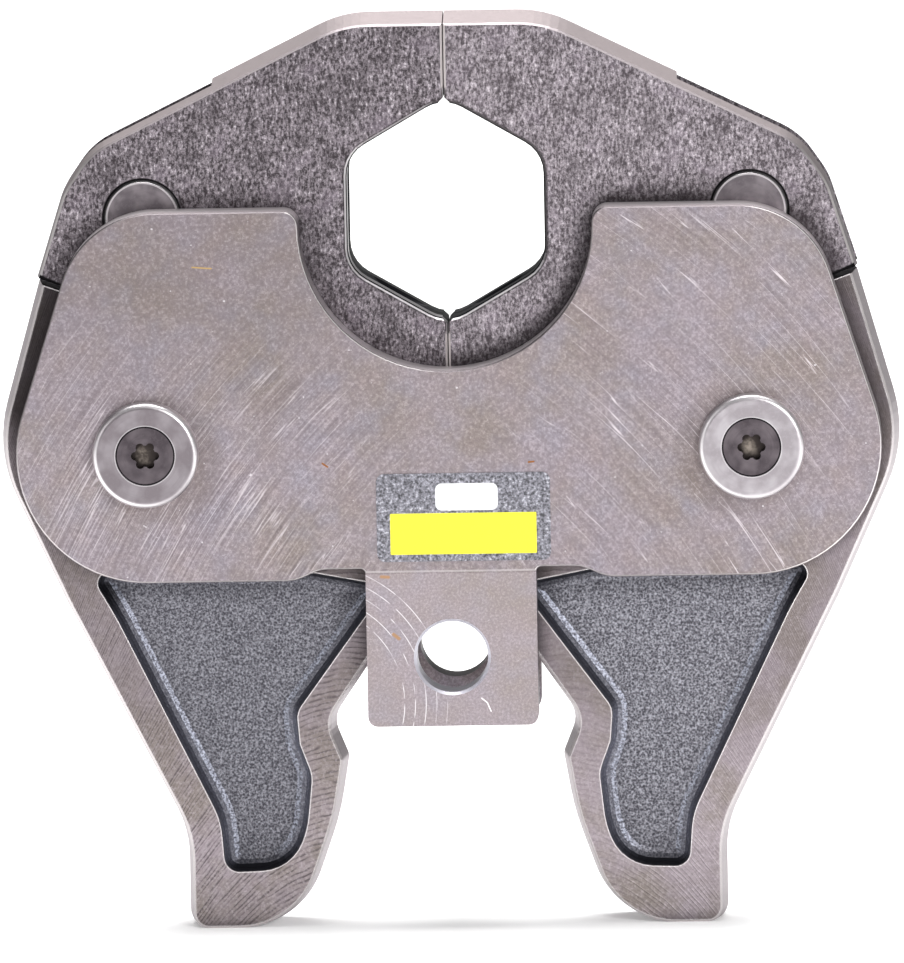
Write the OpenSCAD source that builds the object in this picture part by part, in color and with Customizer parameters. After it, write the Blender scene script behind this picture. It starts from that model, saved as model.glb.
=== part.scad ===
// Press fitting tool jaw with two levers, two hinged press segments and two support plates.
// It stands on its tail feet: X across, Y through the thickness, Z up, millimetres.
// Outlines are anticlockwise lists of corners [x, z, radius], with z measured from the main pivot axes.

/* [Main pivots] */
// Height of the main pivot axes above the feet
pivot_h = 95; // [93:0.1:97]
// Distance of each main pivot axis from the centre plane
pivot_x = 59.2; // [58.5:0.1:60]
// Radius of the main pivot pins
pivot_r = 8; // [6.5:0.1:9]

/* [Support plates] */
// Thickness of each support plate
plate_t = 8.6; // [6:0.1:12]
// Gap between a support plate and the jaw beside it
side_gap = 0.15; // [0.1:0.05:0.4]
// Radius of each plate end round its main pivot
lobe_r = 25.4; // [24.5:0.1:27]
// Height of the horns above the pivots
horn_top = 47.3; // [46.5:0.1:49]
// Radius of each horn's outer corner
horn_r = 19; // [15:0.5:21]
// Distance of each horn corner's centre from the centre plane
horn_x = 56.8; // [54:0.1:59]
// Radius of the round cut-out between the horns
cutout_r = 28.7; // [26:0.1:30]
// Height of the cut-out's centre above the pivots
cutout_h = 44.2; // [42:0.1:45]
// Width of the tongue
tongue_w = 33.4; // [30:0.1:36]
// Depth of the tongue's end below the pivots
tongue_drop = 54.4; // [52:0.1:58]
// Depth of the notches beside the tongue, below the pivots
notch_drop = 23.2; // [21:0.1:24.4]
// Depth to which the tongue's outer faces are milled
tongue_mill = 0.3; // [0.1:0.1:0.8]
// Bevel round the plates' outer faces
plate_bevel = 0.3; // [0.2:0.1:1]
// Radius of the locking pin bore
lock_r = 7; // [6:0.1:8]
// Depth of the locking pin bore below the pivots
lock_drop = 40.8; // [39:0.1:42]
// Chamfer at the mouth of the locking pin bore
lock_chamfer = 0.55; // [0.2:0.05:1]

/* [Levers] */
// Thickness of the levers and press segments
jaw_t = 16; // [14:0.5:20]
// How far the forged sides of the levers stand out at mid thickness
lever_draft = 1; // [0.2:0.1:1.5]
// Bevel round the ground faces
face_bevel = 0.4; // [0.2:0.1:0.8]
// Distance of each tail's outer side from the centre plane
tail_out = 52; // [50:0.1:54]
// Distance of the nose on each tail's inner side from the centre plane
nose_x = 22.1; // [21.5:0.1:23]
// Distance of the levers' inner ends from the centre plane
inner_x = 3.4; // [3:0.1:5]
// Depth of the forged pockets
pocket_depth = 4.6; // [2:0.1:5.5]
// Radius between a pocket's wall and its floor
pocket_fillet = 2.6; // [1:0.1:3]
// Width of the lever's tongue in the segment's slot
knuckle_t = 7.8; // [5:0.1:9]
// Radius of the lever's tongue round the segment pin
knuckle_r = 12.9; // [11:0.1:13.2]

/* [Press segments] */
// Distance between opposite flats of the press mouth
mouth_flats = 38.5; // [36:0.1:41]
// Radius of the press mouth's corners
mouth_corner_r = 7; // [4:0.1:9]
// Height of the press mouth's centre above the pivots
mouth_h = 46.1; // [45:0.1:47]
// Chamfer at the press mouth's edges
mouth_chamfer = 0.8; // [0.2:0.1:1]
// Height of the segments' top above the press mouth's centre
crown = 36.7; // [34:0.1:39]
// How far the forged sides of the segments stand out at mid thickness
segment_draft = 0.6; // [0.2:0.1:1.5]
// How much further their top stands out there
segment_rise = 1.3; // [0:0.1:1.6]
// Gap between the two segments
seam_gap = 0.2; // [0.1:0.05:0.5]
// How much further out the segment pins sit than the main pivots
seg_pin_shift = 0.2; // [-0.2:0.1:1.3]
// Height of the segment pin axes above the pivots
seg_pin_h = 45.5; // [45:0.1:46.5]
// Radius of the segment pins
seg_pin_r = 7.45; // [6:0.05:8]
// Radius of each segment's foot round its pin
ear_r = 20.5; // [19.5:0.1:21]
// Gap between a segment's foot and the lever's shoulder
split_gap = 1; // [0.8:0.05:1.5]
// Depth of the bead groove in the flats of the mouth
groove_depth = 1.95; // [1:0.05:2.2]
// Radius of the bead groove's round section
groove_r = 4; // [3:0.1:5]

/* [Collars and screws] */
// Outer radius of the collars
collar_r = 10.35; // [9.8:0.05:12]
// Height of the collars above the plates
collar_t = 3.1; // [2.5:0.1:4]
// Radius of the collars' rounded rim
collar_round = 1.2; // [0.5:0.1:1.5]
// Radius of the collar screws' heads
head_r = 5.8; // [5:0.1:6.5]
// Radius of the collar screws' shanks
shank_r = 3; // [2.5:0.1:3.4]
// Length of the collar screws below the head
shank_l = 12; // [8:0.5:14]
// Outer radius of the six-lobe socket
socket_r = 2.75; // [2.2:0.05:3]
// Depth of the six-lobe socket
socket_depth = 2; // [1:0.1:2.4]

/* [Closing spring] */
// Depth of the spring pin below the pivots
spring_drop = 17; // [16:0.1:18]
// Radius of the spring pin
spring_pin_r = 4; // [3:0.1:4.2]
// Diameter of the spring wire
wire_d = 2.5; // [1.5:0.1:2.7]
// Angle between each spring leg and the horizontal
leg_angle = 62; // [60:1:64]

/* [Label] */
// Width of the label
label_w = 34; // [30:0.5:36]
// Height of the label
label_h = 17.3; // [14:0.1:18]
// Thickness of the label
label_t = 0.2; // [0.1:0.05:0.4]
// Distance of the label's centre from the centre plane
label_x = 2.7; // [-3:0.1:4]
// Depth of the label's centre below the pivots
label_drop = 13.2; // [12:0.1:13.5]

/* [Hidden] */

// Radial clearances of a seated pin, of a running pin and of a part that only passes by
seat_fit = 0.02;
run_fit = 0.05;
pass_fit = 0.2;

// Distance of each segment pin axis from the centre plane
seg_pin_x = pivot_x + seg_pin_shift;

// Planes through the thickness, measured from the middle of the jaw
jaw_y = jaw_t / 2;
plate_in = jaw_y + side_gap;
plate_out = plate_in + plate_t;

// Steps of the arcs, in degrees: corners of a large radius get the finer step
large_r = 12;
fine_step = 5;
coarse_step = 12;
least_r = 0.15;

// Cuts that run out of the part end this far away
far = 60;

function unit(v) = v / norm(v);
function spot(c) = [c[0], c[1]];
function outward(a, b) = let (u = unit(b - a)) [u[1], -u[0]];
function turned(v, k) = [v[0] * cos(k) - v[1] * sin(k), v[0] * sin(k) + v[1] * cos(k)];
function between(m, n) = atan2(m[0] * n[1] - m[1] * n[0], m * n);

// The arc of one corner b between its neighbours a and c, with the outline grown outwards
function corner_arc(a, b, c, r, grow) =
    let (
        m = outward(a, b),
        n = outward(b, c),
        turn = between(m, n),
        s = sign(turn),
        miter = (m + n) / (1 + m * n),
        r_now = max(r + s * grow, least_r),
        centre = b + (grow - s * r_now) * miter,
        steps = max(1, ceil(abs(turn) / (r > large_r ? fine_step : coarse_step)))
    )
    [for (i = [0:steps]) centre + s * r_now * turned(m, turn * i / steps)];

// All points of an outline with rounded corners, grown outwards by the same distance
function ring(corners, grow = 0) =
    let (n = len(corners))
    [for (i = [0:n - 1])
        each corner_arc(spot(corners[(i + n - 1) % n]), spot(corners[i]), spot(corners[(i + 1) % n]),
                        corners[i][2], grow)];

// The right half of an outline and its mirror image, as one outline
function both_sides(half) =
    concat(half, [for (i = [len(half) - 1:-1:0]) [-half[i][0], half[i][1], half[i][2]]]);

// Two arcs that run into each other share a point, which the outline needs only once
function kept(base) = [for (i = [0:len(base) - 1]) if (norm(base[i] - base[(i + 1) % len(base)]) > 0.01) i];

// An outline splits into triangles, one free corner after the other, because some outlines have hollows
function side_of(a, b, p) = (b[0] - a[0]) * (p[1] - a[1]) - (b[1] - a[1]) * (p[0] - a[0]);
function covers(a, b, c, p) = p != a && p != b && p != c
    && side_of(a, b, p) >= 0 && side_of(b, c, p) >= 0 && side_of(c, a, p) >= 0;
function corner_at(left, k) = let (n = len(left)) [left[(k + n - 1) % n], left[k], left[(k + 1) % n]];
function is_free(pts, left, k) =
    let (t = corner_at(left, k), a = pts[t[0]], b = pts[t[1]], c = pts[t[2]])
    side_of(a, b, c) > 0 && len([for (i = left) if (covers(a, b, c, pts[i])) i]) == 0;
function free_corner(pts, left, k = 0) =
    k == len(left) - 1 || is_free(pts, left, k) ? k : free_corner(pts, left, k + 1);
function triangles(pts, left) = len(left) == 3 ? [left] :
    let (k = free_corner(pts, left))
    concat([corner_at(left, k)], triangles(pts, [for (i = [0:len(left) - 1]) if (i != k) left[i]]));

// A solid through the same outline at several depths, from front to back. Each level is [y, grow], with
// a third value where the outline also stands higher.
function rise(level) = len(level) > 2 ? level[2] : 0;

module lofted(corners, levels) {
    keep = kept(ring(corners));
    outlines = [for (level = levels) let (all = ring(corners, level[1])) [for (i = keep) all[i]]];
    n = len(keep);
    top = len(levels) - 1;
    front = triangles(outlines[0], [for (i = [0:n - 1]) i]);
    rear = triangles(outlines[top], [for (i = [0:n - 1]) i]);
    polyhedron(
        points = [for (k = [0:top], p = outlines[k]) [p[0], levels[k][0], p[1] + rise(levels[k])]],
        faces = concat(
            [for (t = front) [t[2], t[1], t[0]]],
            [for (t = rear) [for (i = t) top * n + i]],
            [for (k = [0:len(levels) - 2], i = [0:n - 1])
                let (j = (i + 1) % n) each [
                    [k * n + i, k * n + j, (k + 1) * n + j],
                    [k * n + i, (k + 1) * n + j, (k + 1) * n + i]
                ]]
        )
    );
}

// A round piece or cut along Y, from depth y0 to y1, at x and at z above the pivots
module rod(x, z, r, y0, y1, r_end = undef) {
    translate([x, y0, z]) rotate([-90, 0, 0])
        cylinder(h = y1 - y0, r1 = r, r2 = is_undef(r_end) ? r : r_end, $fn = 64);
}

// A flat outline in X and Z, extruded along Y from depth y0 to y1
module slab(y0, y1) {
    translate([0, y1, 0]) rotate([90, 0, 0]) linear_extrude(y1 - y0) children();
}

// The height at which everything measured from the pivots stands
module on_pivots() {
    translate([0, 0, pivot_h]) children();
}

module mirrored(side) {
    if (side < 0) mirror([1, 0, 0]) children();
    else children();
}

// Support plates

// The straight flank of a plate touches the lobe and the horn corner
horn_c = [horn_x, horn_top - horn_r];
lobe_to_horn = horn_c - [pivot_x, 0];
flank_angle = atan2(lobe_to_horn[1], lobe_to_horn[0]) - acos((lobe_r - horn_r) / norm(lobe_to_horn));
function flank_x(z) = (pivot_x * cos(flank_angle) + lobe_r - z * sin(flank_angle)) / cos(flank_angle);

horn_tip_r = min(3, horn_top - cutout_h - 0.05);
notch_in = 25.5;
notch_out = 30.5;
notch_r = 7;
tongue_r = 2;

plate_corners = both_sides([
    [tongue_w / 2, -tongue_drop, tongue_r],
    [tongue_w / 2, -notch_drop, 1],
    [notch_in, -notch_drop, notch_r],
    [notch_out, -lobe_r, notch_r],
    [flank_x(-lobe_r), -lobe_r, lobe_r],
    [flank_x(horn_top), horn_top, horn_r],
    [cutout_r, horn_top, horn_tip_r],
    [cutout_r, cutout_h - cutout_r, cutout_r]
]);

// Width of the ramp where the milled face of the tongue runs out
mill_ramp = 0.7;
// Depth of the blind bores that hold the spring pin
spring_seat = 2.6;

module front_support() {
    milled_y = -plate_out + tongue_mill;
    ramp_top = -notch_drop - 0.4;
    ramp_slope = mill_ramp / tongue_mill;
    difference() {
        lofted(plate_corners, [
            [-plate_out, -plate_bevel],
            [-plate_out + plate_bevel, 0],
            [-plate_in - plate_bevel / 2, 0],
            [-plate_in, -plate_bevel / 2]
        ]);
        translate([-tongue_w / 2 - 3, 0, 0]) rotate([90, 0, 90]) linear_extrude(tongue_w + 6)
            polygon([
                [-plate_out - 1, -tongue_drop - 1],
                [milled_y, -tongue_drop - 1],
                [milled_y, ramp_top - mill_ramp],
                [-plate_out - 1, ramp_top + ramp_slope]
            ]);
        for (side = [-1, 1])
            rod(side * pivot_x, 0, pivot_r + seat_fit, -plate_out - 1, -plate_in + 1);
        rod(0, -lock_drop, lock_r, -plate_out - 1, -plate_in + 1);
        rod(0, -lock_drop, lock_r + lock_chamfer + tongue_mill + 1,
            -plate_out - 1, milled_y + lock_chamfer, lock_r);
        rod(0, -spring_drop, spring_pin_r + seat_fit, -plate_in - spring_seat, -plate_in + 1);
    }
}

module front_plate() {
    color("#a39b9a") on_pivots() front_support();
}

module rear_plate() {
    color("#a39b9a") on_pivots() mirror([0, 1, 0]) front_support();
}

// Where segment and lever part: a line through the outer flank, and an arc round the segment pin

split_slope = tan(19.6);
split_out = [seg_pin_x + 20.3, seg_pin_h - 11.6];
function split_z(x) = split_out[1] + split_slope * (x - split_out[0]);

// The space that the segment's foot takes out of the lever
module shoulder_space() {
    drop = split_gap / cos(19.6);
    circle(r = ear_r + split_gap, $fn = 128);
    polygon([
        [0, split_z(seg_pin_x) - drop - seg_pin_h],
        [far, split_z(seg_pin_x + far) - drop - seg_pin_h],
        [far, far],
        [0, far]
    ]);
}

// Levers

flank_tip = [pivot_x + 29.5, -0.5];
foot_in = 31.8;

lever_corners = [
    [nose_x, -62, 1.2],
    [nose_x + 1.9, -73.2, 50],
    [foot_in, -pivot_h, 16],
    [tail_out, -pivot_h, 3],
    [tail_out, -76.2, 22],
    [pivot_x + 16.1, -30, 40],
    [flank_tip[0], flank_tip[1], 26],
    [seg_pin_x + 17.8, seg_pin_h - 5.6, 1],
    [seg_pin_x - 7, seg_pin_h - 17, 1],
    [21, 4, 10],
    [inner_x, 4, 3],
    [inner_x, -8.4, 2],
    [12.6, -22, 12],
    [15.6, -40.2, 5],
    [nose_x + 3.1, -54.3, 6]
];

pocket_corners = [
    [nose_x + 6.1, -65, 6],
    [nose_x + 7.2, -75.5, 20],
    [nose_x + 10.5, -83.6, 9],
    [tail_out - 6.4, -84, 3],
    [tail_out - 5.6, -73.6, 16],
    [pivot_x + 7, -32.9, 40],
    [pivot_x + 12.2, -24, 2.4],
    [28, -24.7, 12],
    [12.8, -27.6, 2],
    [nose_x + 8.9, -52.4, 4],
    [nose_x + 8.4, -58.8, 3]
];

// The wall of a pocket leans by this much before it runs into the floor's fillet
pocket_lean = 0.35;
fillet_steps = 4;

module pocket() {
    floor_y = -jaw_y + pocket_depth;
    lofted(pocket_corners, concat(
        [[-jaw_y - 1, pocket_lean], [-jaw_y, 0]],
        [for (i = [0:fillet_steps]) let (a = 90 * i / fillet_steps) [
            floor_y - pocket_fillet * (1 - sin(a)),
            -pocket_lean - pocket_fillet * (1 - cos(a))
        ]]
    ));
}

module lever(side) {
    mirrored(side) on_pivots() difference() {
        union() {
            difference() {
                lofted(lever_corners, [
                    [-jaw_y, -face_bevel],
                    [-jaw_y + face_bevel, 0],
                    [0, lever_draft],
                    [jaw_y - face_bevel, 0],
                    [jaw_y, -face_bevel]
                ]);
                translate([seg_pin_x, 0, seg_pin_h]) slab(-jaw_y - 1, jaw_y + 1) shoulder_space();
                pocket();
                mirror([0, 1, 0]) pocket();
                translate([0, -jaw_t, -pivot_h - 10]) cube([2 * far, 2 * jaw_t, 10]);
            }
            rod(seg_pin_x, seg_pin_h, knuckle_r, -knuckle_t / 2, knuckle_t / 2);
            translate([seg_pin_x - knuckle_r, -knuckle_t / 2, seg_pin_h - ear_r - 6])
                cube([2 * knuckle_r, knuckle_t, ear_r + 6]);
        }
        rod(pivot_x, 0, pivot_r + run_fit, -jaw_t, jaw_t);
        rod(seg_pin_x, seg_pin_h, seg_pin_r + seat_fit, -jaw_t, jaw_t);
    }
}

module left_lever() {
    color("#8d8788") lever(-1);
}

module right_lever() {
    color("#8d8788") lever(1);
}

// Press segments

segment_corners = [
    [-6, 7, 1],
    [18, 7, 12],
    [seg_pin_x - 12.6, seg_pin_h - 17.3, 1],
    [seg_pin_x - 7, seg_pin_h - 21.5, 1],
    [seg_pin_x + 11, seg_pin_h - 25, 1],
    [seg_pin_x + 23.5, seg_pin_h - 21, 1],
    [seg_pin_x + 15.2, seg_pin_h + 5.2, 14],
    [seg_pin_x + 9.8, seg_pin_h + 13, 15],
    [19.5, mouth_h + crown, 22],
    [-6, mouth_h + crown, 1]
];

mouth_corners = [for (i = [0:5])
    let (a = 60 * i - 90, reach = mouth_flats / 2 / cos(30))
    [reach * cos(a), mouth_h + reach * sin(a), mouth_corner_r]];

// Height of the mouth's rounded corner above its centre, at the seam
mouth_tip = (mouth_flats / 2 - mouth_corner_r) / cos(30) + mouth_corner_r;
seam_relief = 1.5;
slot_in = seg_pin_x - knuckle_r - 1;

// What lies below the split line and outside the foot's arc
module foot_waste() {
    difference() {
        polygon([
            [-13.3, -18.2],
            [split_out[0] - 4.5 - seg_pin_x, split_z(split_out[0] - 4.5) - seg_pin_h],
            [far, split_z(seg_pin_x + far) - seg_pin_h],
            [far, -far],
            [-13.3, -far]
        ]);
        circle(r = ear_r, $fn = 128);
    }
}

// What lies beyond the seam, with the bevel of the segment's edges along it
module beyond_seam() {
    half = seam_gap / 2;
    over = jaw_t - jaw_y;
    translate([0, 0, -far]) linear_extrude(4 * far)
        polygon([
            [-far, -jaw_t],
            [half + face_bevel + over, -jaw_t],
            [half, -jaw_y + face_bevel],
            [half, jaw_y - face_bevel],
            [half + face_bevel + over, jaw_t],
            [-far, jaw_t]
        ]);
}

module press_segment(side) {
    bore = seg_pin_r + run_fit;
    mirrored(side) on_pivots() difference() {
        lofted(segment_corners, [
            [-jaw_y, -face_bevel],
            [-jaw_y + face_bevel, 0],
            [0, segment_draft, segment_rise],
            [jaw_y - face_bevel, 0],
            [jaw_y, -face_bevel]
        ]);
        translate([seg_pin_x, 0, seg_pin_h]) slab(-jaw_y - 1, jaw_y + 1) foot_waste();
        lofted(mouth_corners, [
            [-jaw_y - 1, mouth_chamfer + 1],
            [-jaw_y + mouth_chamfer, 0],
            [jaw_y - mouth_chamfer, 0],
            [jaw_y + 1, mouth_chamfer + 1]
        ]);
        translate([0, 0, mouth_h]) rotate([90, 0, 0]) rotate_extrude($fn = 96)
            translate([mouth_flats / 2 + groove_depth - groove_r, 0]) circle(r = groove_r, $fn = 48);
        for (up = [-1, 1])
            translate([seam_gap / 2, 0, mouth_h + up * mouth_tip]) rotate([0, 45, 0])
                cube([seam_relief, 2 * jaw_t, seam_relief], center = true);
        beyond_seam();
        translate([slot_in, -knuckle_t / 2 - pass_fit, -far]) cube([far, knuckle_t + 2 * pass_fit, 4 * far]);
        rod(seg_pin_x, seg_pin_h, bore, -jaw_t, jaw_t);
        rod(seg_pin_x, seg_pin_h, bore + face_bevel, -jaw_y, -jaw_y + face_bevel, bore);
        rod(seg_pin_x, seg_pin_h, bore, jaw_y - face_bevel, jaw_y, bore + face_bevel);
    }
}

module left_press_segment() {
    color("#79757a") press_segment(-1);
}

module right_press_segment() {
    color("#8b878a") press_segment(1);
}

// Pins

pin_chamfer = 0.4;

module pin(x, z, r, half_l) {
    on_pivots() {
        rod(x, z, r, -half_l + pin_chamfer, half_l - pin_chamfer);
        rod(x, z, r - pin_chamfer, -half_l, -half_l + pin_chamfer, r);
        rod(x, z, r, half_l - pin_chamfer, half_l, r - pin_chamfer);
    }
}

module pivot_pin(x) {
    difference() {
        pin(x, 0, pivot_r, plate_out - side_gap);
        on_pivots() for (s = [0, 1]) mirror([0, s, 0])
            rod(x, 0, shank_r + seat_fit, -plate_out - 1, -plate_out + collar_t + shank_l);
    }
}

module left_pivot_pin() {
    color("#8f8b8a") pivot_pin(-pivot_x);
}

module right_pivot_pin() {
    color("#8f8b8a") pivot_pin(pivot_x);
}

module left_segment_pin() {
    color("#7f7b7e") pin(-seg_pin_x, seg_pin_h, seg_pin_r, jaw_y);
}

module right_segment_pin() {
    color("#7f7b7e") pin(seg_pin_x, seg_pin_h, seg_pin_r, jaw_y);
}

// Collars and their countersunk screws, made for the front and mirrored to the rear

head_h = head_r - shank_r;
head_recess = 0.25;

module at_pivot(x, rear) {
    translate([x, 0, pivot_h]) mirror([0, rear, 0])
        translate([0, -plate_out, 0]) rotate([90, 0, 0]) children();
}

module collar(x, rear) {
    at_pivot(x, rear) difference() {
        rotate_extrude($fn = 96) {
            square([collar_r - collar_round, collar_t]);
            square([collar_r, collar_t - collar_round]);
            translate([collar_r - collar_round, collar_t - collar_round]) circle(r = collar_round, $fn = 48);
        }
        translate([0, 0, -1]) cylinder(h = collar_t + 2, r = shank_r + pass_fit, $fn = 64);
        translate([0, 0, collar_t - head_recess - head_h])
            cylinder(h = head_h + seat_fit, r1 = shank_r + seat_fit, r2 = head_r + 2 * seat_fit, $fn = 64);
        translate([0, 0, collar_t - head_recess])
            cylinder(h = head_recess + 1, r = head_r + 2 * seat_fit, $fn = 64);
    }
}

module socket_outline() {
    lobe = socket_r * 0.3;
    circle(r = socket_r * 0.76, $fn = 48);
    for (i = [0:5]) rotate(60 * i) translate([socket_r - lobe, 0]) circle(r = lobe, $fn = 24);
}

module screw(x, rear) {
    top = collar_t - head_recess;
    at_pivot(x, rear) difference() {
        union() {
            translate([0, 0, top - head_h]) cylinder(h = head_h, r1 = shank_r, r2 = head_r, $fn = 64);
            translate([0, 0, top - head_h - shank_l]) cylinder(h = shank_l, r = shank_r, $fn = 64);
        }
        translate([0, 0, top - socket_depth]) linear_extrude(socket_depth + 1) socket_outline();
    }
}

module front_left_collar() {
    color("#bdb9b6") collar(-pivot_x, 0);
}

module front_right_collar() {
    color("#bdb9b6") collar(pivot_x, 0);
}

module rear_left_collar() {
    color("#bdb9b6") collar(-pivot_x, 1);
}

module rear_right_collar() {
    color("#bdb9b6") collar(pivot_x, 1);
}

module front_left_screw() {
    color("#4a4543") screw(-pivot_x, 0);
}

module front_right_screw() {
    color("#4a4543") screw(pivot_x, 0);
}

module rear_left_screw() {
    color("#4a4543") screw(-pivot_x, 1);
}

module rear_right_screw() {
    color("#4a4543") screw(pivot_x, 1);
}

// Closing spring: a wire coil round the spring pin, whose legs push the levers' tails apart

coil_r = spring_pin_r + 0.15 + wire_d / 2;
coil_turns = 2;
coil_pitch = wire_d * 1.08;
coil_step = 20;
leg_l = 13;
wire_sides = 8;

leg_dir = [cos(leg_angle), -sin(leg_angle)];
leg_turn = 90 - leg_angle;
coil_sweep = 360 * coil_turns + 180 - 2 * leg_turn;
coil_half = coil_pitch * coil_sweep / 360 / 2;

function coil_point(k) =
    let (a = 180 - leg_turn - coil_sweep * k)
    [coil_r * cos(a), -coil_half + 2 * coil_half * k, coil_r * sin(a) - spring_drop];

// The wire's route: left leg, coil and right leg
coil_steps = ceil(coil_sweep / coil_step);
coil_route = [for (i = [0:coil_steps]) coil_point(i / coil_steps)];
spring_route = concat(
    [coil_route[0] + leg_l * [-leg_dir[0], 0, leg_dir[1]]],
    coil_route,
    [coil_route[coil_steps] + leg_l * [leg_dir[0], 0, leg_dir[1]]]
);

module swept_wire(route, d, sides) {
    n = len(route);
    rings = [for (i = [0:n - 1])
        let (
            t = unit(route[min(i + 1, n - 1)] - route[max(i - 1, 0)]),
            u = unit(cross(t, [0, 1, 0])),
            v = cross(u, t)
        )
        [for (j = [0:sides - 1]) let (a = 360 * j / sides) route[i] + d / 2 * (cos(a) * u + sin(a) * v)]];
    polyhedron(
        points = [for (r = rings) each r],
        faces = concat(
            [[for (j = [sides - 1:-1:0]) j], [for (j = [0:sides - 1]) (n - 1) * sides + j]],
            [for (i = [0:n - 2], j = [0:sides - 1])
                let (m = (j + 1) % sides) each [
                    [i * sides + j, i * sides + m, (i + 1) * sides + m],
                    [i * sides + j, (i + 1) * sides + m, (i + 1) * sides + j]
                ]]
        )
    );
}

module closing_spring() {
    color("#6b6866") on_pivots() swept_wire(spring_route, wire_d, wire_sides);
}

module spring_pin() {
    color("#8a8684") pin(0, -spring_drop, spring_pin_r, plate_in + spring_seat - side_gap);
}

// Label on the front plate

module label() {
    half_w = label_w / 2;
    half_h = label_h / 2;
    color("#4b4a50") translate([label_x, 0, pivot_h - label_drop])
        lofted([
            [-half_w, -half_h, 1.6],
            [half_w, -half_h, 1.6],
            [half_w, half_h, 1.6],
            [-half_w, half_h, 1.6]
        ], [[-plate_out - label_t, 0], [-plate_out, 0]]);
}

front_plate();
rear_plate();
left_lever();
right_lever();
left_press_segment();
right_press_segment();
left_pivot_pin();
right_pivot_pin();
left_segment_pin();
right_segment_pin();
front_left_collar();
front_right_collar();
rear_left_collar();
rear_right_collar();
front_left_screw();
front_right_screw();
rear_left_screw();
rear_right_screw();
spring_pin();
closing_spring();
label();
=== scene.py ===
# %% [markdown]
# # Press fitting tool jaw
#
# The jaw is a heavy steel tong: two forged levers and two press segments held between two ground support
# plates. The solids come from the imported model, so this lesson is about finishes, the label, the light and
# the camera. Everything is in metres: X runs across the jaw, Y through it and Z up.

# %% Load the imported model
import math

import bmesh
import bpy
from mathutils import Matrix, Vector


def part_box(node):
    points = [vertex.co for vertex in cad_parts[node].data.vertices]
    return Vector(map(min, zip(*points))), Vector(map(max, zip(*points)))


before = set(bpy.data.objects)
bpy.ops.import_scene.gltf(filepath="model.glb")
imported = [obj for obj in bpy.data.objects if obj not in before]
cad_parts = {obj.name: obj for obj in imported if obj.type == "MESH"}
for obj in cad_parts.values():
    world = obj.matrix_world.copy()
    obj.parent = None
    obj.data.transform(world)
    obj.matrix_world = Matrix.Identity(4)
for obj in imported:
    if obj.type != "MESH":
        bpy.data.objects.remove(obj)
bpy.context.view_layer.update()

# %% [markdown]
# ## Places that the finishes share
#
# Grinding marks follow circles round the middle of the machine's wheel, so the finishes need places on the
# object. They are measured from the solids. Where a finish needs a place that no box gives, such as the step
# of the tongue, it is counted in millimetres from the pivots. Depths are measured outwards from the middle.

# %% Measure the places
MM = 0.001
LEFT, RIGHT = -1, 1


def middle_of(node):
    low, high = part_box(node)
    return Vector(((low.x + high.x) / 2, 0, (low.z + high.z) / 2))


pivot = middle_of("front_right_collar")
segment_pin = middle_of("right_segment_pin")
label_low, label_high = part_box("label")
plate_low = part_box("front_plate")[0]
plate_face = -plate_low.y
jaw_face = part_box("right_lever")[1].y
screw_face = -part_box("front_left_screw")[0].y
mouth = Vector((0, 0, segment_pin.z + 0.6 * MM))
lock = Vector((0, 0, plate_low.z + 13.6 * MM))
tongue_step_z = pivot.z - 23.5 * MM
shoulder_z = pivot.z + 27 * MM
heel_z = pivot.z + 37 * MM
MOUTH_REACH = 24.1 * MM  # the mouth's walls and chamfers end this far from its middle
print("main pivot at", tuple(round(v, 4) for v in pivot), "half jaw", round(jaw_face, 4))

# %% [markdown]
# ## Camera
#
# The jaw is seen from far away, nearly straight on and from a little above, so a long lens fits. The lens
# length follows from the size of a pixel at the front plate. The camera is turned a little about its own
# axis, because the jaw leans in the picture.

# %% Camera
FRAME_W = 904
DISTANCE = 3.0
PIXELS_PER_M = 5120
VIEW_UP = math.radians(6.7)
VIEW_SIDE = math.radians(1.8)
VIEW_ROLL = math.radians(-1.05)
SENSOR_MM = 36
aim = Vector((0.57 * MM, plate_low.y, pivot.z - 6.2 * MM))
outward = Vector((
    math.sin(VIEW_SIDE) * math.cos(VIEW_UP),
    -math.cos(VIEW_SIDE) * math.cos(VIEW_UP),
    math.sin(VIEW_UP),
))
camera_data = bpy.data.cameras.new("camera")
camera_data.sensor_fit = "HORIZONTAL"
camera_data.sensor_width = SENSOR_MM
camera_data.lens = PIXELS_PER_M * DISTANCE / FRAME_W * SENSOR_MM
camera_data.clip_end = 50
camera = bpy.data.objects.new("camera", camera_data)
look = (-outward).to_track_quat("-Z", "Y").to_matrix().to_4x4()
camera.matrix_world = Matrix.Translation(aim + DISTANCE * outward) @ look @ Matrix.Rotation(VIEW_ROLL, 4, "Z")
bpy.context.scene.collection.objects.link(camera)
bpy.context.scene.camera = camera
print("lens", round(camera_data.lens), "mm")

# %% [markdown]
# ## Floor and light
#
# The jaw stands on a white sweep under soft studio lamps. A broad lamp above keeps the floor white. The main
# lamp stands a little to the right of the camera, so each plate lays a narrow shadow on the parts behind it.

# %% Floor
FLOOR_HALF = 6
floor_mesh = bpy.data.meshes.new("floor")
shape = bmesh.new()
bmesh.ops.create_grid(shape, x_segments=1, y_segments=1, size=FLOOR_HALF)
shape.to_mesh(floor_mesh)
shape.free()
floor = bpy.data.objects.new("floor", floor_mesh)
bpy.context.scene.collection.objects.link(floor)

# %% Lamps and surroundings


def lamp(name, place, target, size, watts):
    data = bpy.data.lights.new(name, "AREA")
    data.shape = "DISK"
    data.size = size
    data.energy = watts
    made = bpy.data.objects.new(name, data)
    made.location = place
    made.rotation_euler = (Vector(target) - Vector(place)).to_track_quat("-Z", "Y").to_euler()
    bpy.context.scene.collection.objects.link(made)


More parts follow.
